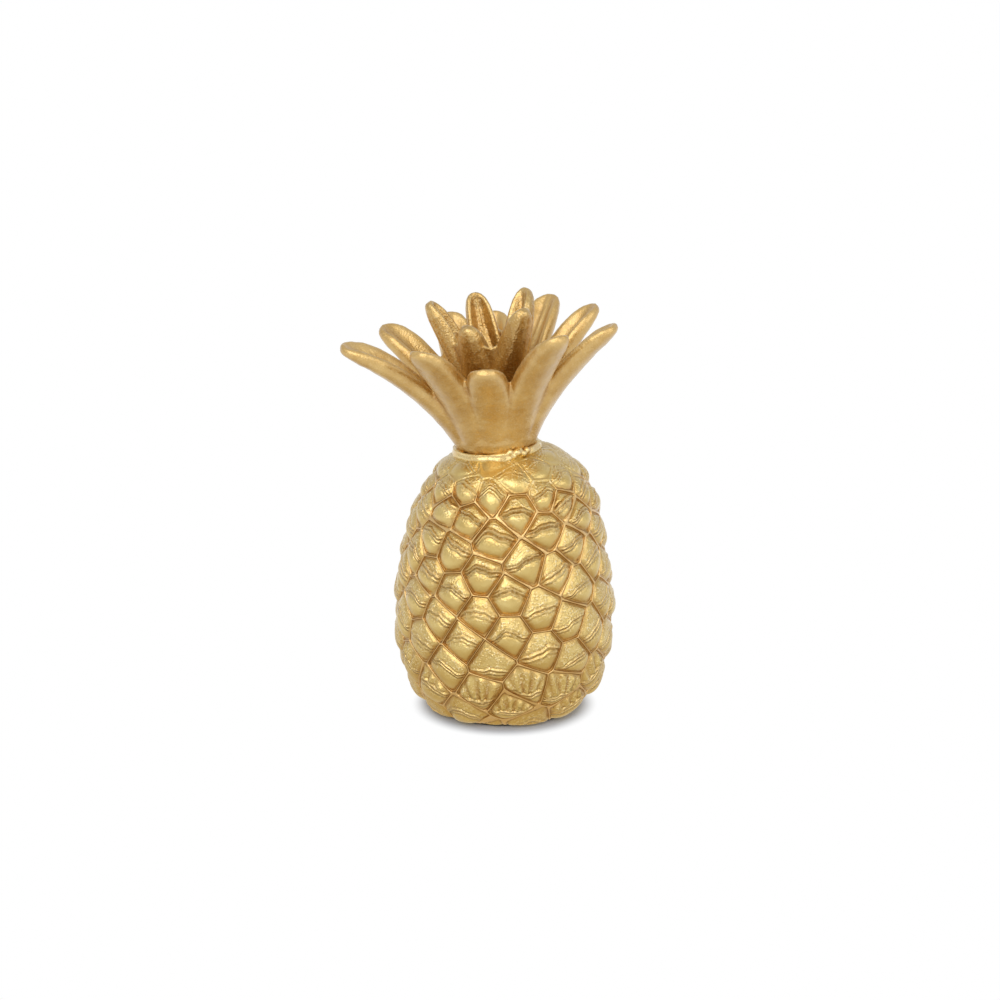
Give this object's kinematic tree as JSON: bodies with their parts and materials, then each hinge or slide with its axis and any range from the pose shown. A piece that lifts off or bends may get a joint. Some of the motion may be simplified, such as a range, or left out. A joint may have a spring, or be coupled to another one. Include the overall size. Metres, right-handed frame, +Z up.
{
  "type": "pineapple figurine",
  "caption": "Gold-painted cast pineapple ornament with a spiral of raised eyes and a two-tier crown of arching leaves, standing on a flat felted base",
  "frame": {"origin": "centre of the underside of the felt disc, on the table plane", "axes": "+Z up along the body's axis, -Y to the front as the picture sees it, +X to the viewer's right"},
  "size_m": [0.098, 0.0815, 0.1523],
  "materials": {
    "body_gold": "metallic gold paint over sand-cast metal",
    "leaf_gold": "metallic gold paint over sand-cast metal",
    "bead_gold": "bright gold paint over filler",
    "zinc_steel": "zinc plated",
    "felt": "pressed wool felt, glued on"
  },
  "bodies": {
    "root": {"felt_base": "felt", "body_casting": "body_gold", "crown_outer_whorl": "leaf_gold", "crown_inner_whorl": "leaf_gold", "neck_joint_bead": "bead_gold", "crown_screw": "zinc_steel", "flat_washer": "zinc_steel", "spring_washer": "zinc_steel"}
  },
  "joints": []
}
